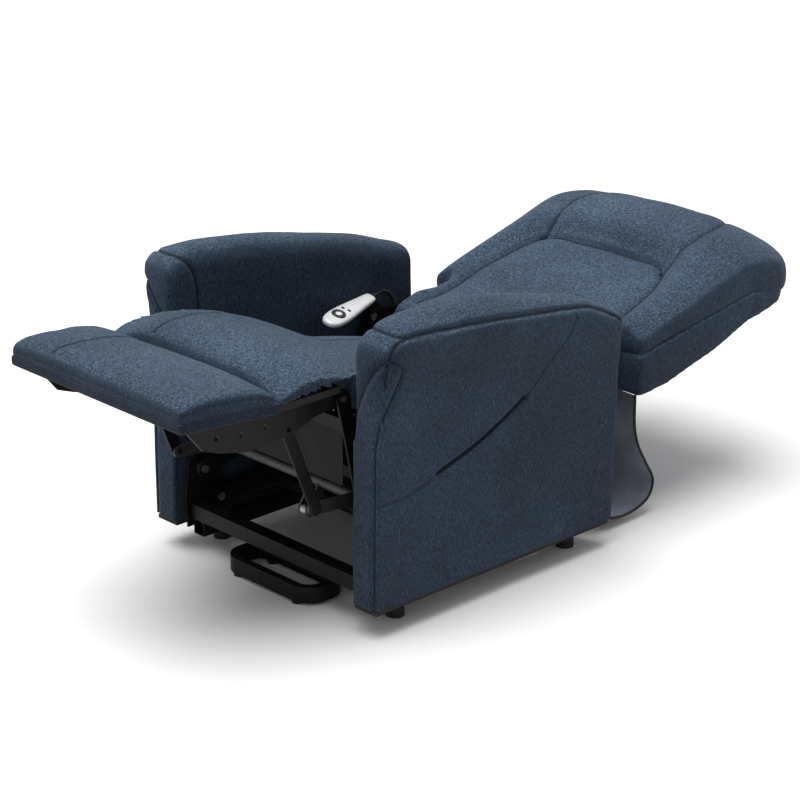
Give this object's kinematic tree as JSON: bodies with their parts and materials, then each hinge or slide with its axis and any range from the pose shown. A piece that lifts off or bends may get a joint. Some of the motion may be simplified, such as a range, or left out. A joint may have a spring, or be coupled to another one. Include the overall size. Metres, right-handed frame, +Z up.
{
  "type": "lift recliner chair",
  "caption": "Upholstered power lift recliner chair with padded arms, reclining back, folding foot rest, steel lift base, electric actuators and a corded handset.",
  "frame": {"origin": "on the floor, under the middle of the laid back chair", "axes": "+Z up, -Y to the foot end, +Y to the head end, +X to the sitter's left"},
  "size_m": [0.69, 1.61, 0.62],
  "materials": {
    "heather_fabric": "woven, heathered navy",
    "black_steel": "black powder coat",
    "zinc_steel": "zinc plated",
    "spring_steel": "oiled",
    "frame_wood": "unfinished plywood",
    "grey_leather": "grained, matt",
    "lining": "non-woven dust cloth",
    "foot_rubber": "matt",
    "white_plastic": "satin moulded",
    "button_plastic": "soft touch",
    "motor_plastic": "moulded housing",
    "cord_rubber": "semi-gloss"
  },
  "bodies": {
    "base": {"base_runners": "black_steel", "front_crossbar": "black_steel", "rear_crossbar": "black_steel", "stabiliser_loop": "black_steel", "feet": "foot_rubber", "base_brackets": "black_steel", "lift_pivot_pins": "zinc_steel", "power_box": "motor_plastic"},
    "lift_frame": {"left_lift_arm": "black_steel", "right_lift_arm": "black_steel", "lift_cross_tube": "black_steel"},
    "lift_links": {"lift_links": "black_steel"},
    "chair_body": {"side_plates": "black_steel", "rear_cross_rail": "black_steel", "body_pins": "zinc_steel", "arm_bolts": "zinc_steel", "left_arm_core": "frame_wood", "right_arm_core": "frame_wood", "left_arm_cover": "heather_fabric", "right_arm_cover": "heather_fabric", "left_arm_pad": "heather_fabric", "right_arm_pad": "heather_fabric", "left_arm_front_panel": "heather_fabric", "right_arm_front_panel": "heather_fabric", "rear_flap": "grey_leather", "handset_cord": "cord_rubber"},
    "seat": {"seat_plates": "black_steel", "seat_front_rail": "frame_wood", "seat_rear_rail": "frame_wood", "motor_rails": "black_steel", "seat_springs": "spring_steel", "seat_cushion": "heather_fabric", "dust_cloth": "lining", "seat_pins": "zinc_steel", "handset_shell": "white_plastic"},
    "backrest": {"back_cushion": "heather_fabric", "back_stiles": "frame_wood", "back_rails": "frame_wood", "back_shell": "heather_fabric", "back_brackets": "black_steel", "back_lever_tube": "black_steel"},
    "legrest": {"foot_board": "heather_fabric", "foot_pad": "heather_fabric", "calf_board": "frame_wood", "calf_pad": "heather_fabric", "legrest_brackets": "black_steel"},
    "crank": {"crank_tube": "zinc_steel"},
    "drive_links": {"drive_links": "black_steel"},
    "lift_motor": {"lift_motor": "motor_plastic"},
    "lift_rod": {"lift_rod": "zinc_steel"},
    "recline_motor": {"recline_motor": "motor_plastic"},
    "recline_rod": {"recline_rod": "zinc_steel"},
    "legrest_motor": {"legrest_motor": "motor_plastic"},
    "legrest_rod": {"legrest_rod": "zinc_steel"},
    "raise_button": {"raise_button": "button_plastic"},
    "lower_button": {"lower_button": "button_plastic"},
    "recline_button": {"recline_button": "button_plastic"},
    "upright_button": {"upright_button": "button_plastic"},
    "heat_button": {"heat_button": "button_plastic"},
    "massage_button": {"massage_button": "button_plastic"}
  },
  "joints": [
    {"name": "lift", "type": "hinge", "parent": "base", "child": "lift_frame", "pos_m": [0, -0.33, 0.1], "axis": [1, 0, 0], "range_deg": [0, 48]},
    {"name": "chair_tilt", "type": "hinge", "parent": "lift_frame", "child": "chair_body", "pos_m": [0, 0.05, 0.14], "axis": [1, 0, 0], "range_deg": [-23.01, 0]},
    {"name": "lift_link_turn", "type": "hinge", "parent": "base", "child": "lift_links", "pos_m": [0, -0.37, 0.17], "axis": [1, 0, 0], "range_deg": [0, 62.25]},
    {"name": "lift_motor_turn", "type": "hinge", "parent": "base", "child": "lift_motor", "pos_m": [0, 0.14, 0.08], "axis": [1, 0, 0], "range_deg": [-10.49, 0]},
    {"name": "lift_rod_slide", "type": "slide", "parent": "lift_motor", "child": "lift_rod", "axis": [0, -0.9737, 0.2276], "range_m": [0, 0.12066]},
    {"name": "recline", "type": "hinge", "parent": "chair_body", "child": "backrest", "pos_m": [0, 0.093, 0.375], "axis": [1, 0, 0], "range_deg": [0, 64], "deforming": ["rear_flap", "handset_cord"]},
    {"name": "seat_tilt", "type": "hinge", "parent": "chair_body", "child": "seat", "pos_m": [0, -0.37, 0.36], "axis": [1, 0, 0], "range_deg": [0, 10.01]},
    {"name": "recline_motor_turn", "type": "hinge", "parent": "seat", "child": "recline_motor", "pos_m": [-0.08, -0.265, 0.262], "axis": [1, 0, 0], "range_deg": [-3.83, 0]},
    {"name": "recline_rod_slide", "type": "slide", "parent": "recline_motor", "child": "recline_rod", "axis": [0, 0.9975, -0.0704], "range_m": [0, 0.11735]},
    {"name": "foot_rest", "type": "hinge", "parent": "seat", "child": "legrest", "pos_m": [0, -0.41, 0.45], "axis": [1, 0, 0], "range_deg": [0, 85]},
    {"name": "crank_turn", "type": "hinge", "parent": "seat", "child": "crank", "pos_m": [0, -0.345, 0.232], "axis": [1, 0, 0], "range_deg": [0, 62.04]},
    {"name": "drive_link_turn", "type": "hinge", "parent": "crank", "child": "drive_links", "pos_m": [0, -0.46, 0.242], "axis": [1, 0, 0], "range_deg": [-89.07, 0]},
    {"name": "legrest_motor_turn", "type": "hinge", "parent": "seat", "child": "legrest_motor", "pos_m": [0.08, -0.04, 0.196], "axis": [1, 0, 0], "range_deg": [0, 0.711]},
    {"name": "legrest_rod_slide", "type": "slide", "parent": "legrest_motor", "child": "legrest_rod", "axis": [0, -0.999, -0.0445], "range_m": [-0.06161, 0]},
    {"name": "raise_press", "type": "slide", "parent": "seat", "child": "raise_button", "axis": [-0.3205, -0.0088, -0.9472], "range_m": [0, 0.001], "stiffness_N_per_m": 400},
    {"name": "lower_press", "type": "slide", "parent": "seat", "child": "lower_button", "axis": [-0.3205, -0.0088, -0.9472], "range_m": [0, 0.001], "stiffness_N_per_m": 400},
    {"name": "recline_press", "type": "slide", "parent": "seat", "child": "recline_button", "axis": [-0.3205, -0.0088, -0.9472], "range_m": [0, 0.001], "stiffness_N_per_m": 400},
    {"name": "upright_press", "type": "slide", "parent": "seat", "child": "upright_button", "axis": [-0.3205, -0.0088, -0.9472], "range_m": [0, 0.001], "stiffness_N_per_m": 400},
    {"name": "heat_press", "type": "slide", "parent": "seat", "child": "heat_button", "axis": [-0.3205, -0.0088, -0.9472], "range_m": [0, 0.001], "stiffness_N_per_m": 400},
    {"name": "massage_press", "type": "slide", "parent": "seat", "child": "massage_button", "axis": [-0.3205, -0.0088, -0.9472], "range_m": [0, 0.001], "stiffness_N_per_m": 400}
  ],
  "couplings": [
    {"joint": "chair_tilt", "follows": "lift", "ratio": -0.47917},
    {"joint": "lift_link_turn", "follows": "lift", "ratio": 1.2963},
    {"joint": "lift_motor_turn", "follows": "lift", "ratio": -0.21836},
    {"joint": "lift_rod_slide", "follows": "lift", "m_per_rad": 0.14396},
    {"joint": "seat_tilt", "follows": "recline", "ratio": 0.15625},
    {"joint": "recline_motor_turn", "follows": "recline", "ratio": -0.05985},
    {"joint": "recline_rod_slide", "follows": "recline", "m_per_rad": 0.10501},
    {"joint": "crank_turn", "follows": "foot_rest", "ratio": 0.72947},
    {"joint": "drive_link_turn", "follows": "foot_rest", "ratio": -1.0474},
    {"joint": "legrest_motor_turn", "follows": "foot_rest", "ratio": 0.0083605},
    {"joint": "legrest_rod_slide", "follows": "foot_rest", "m_per_rad": -0.04151}
  ]
}
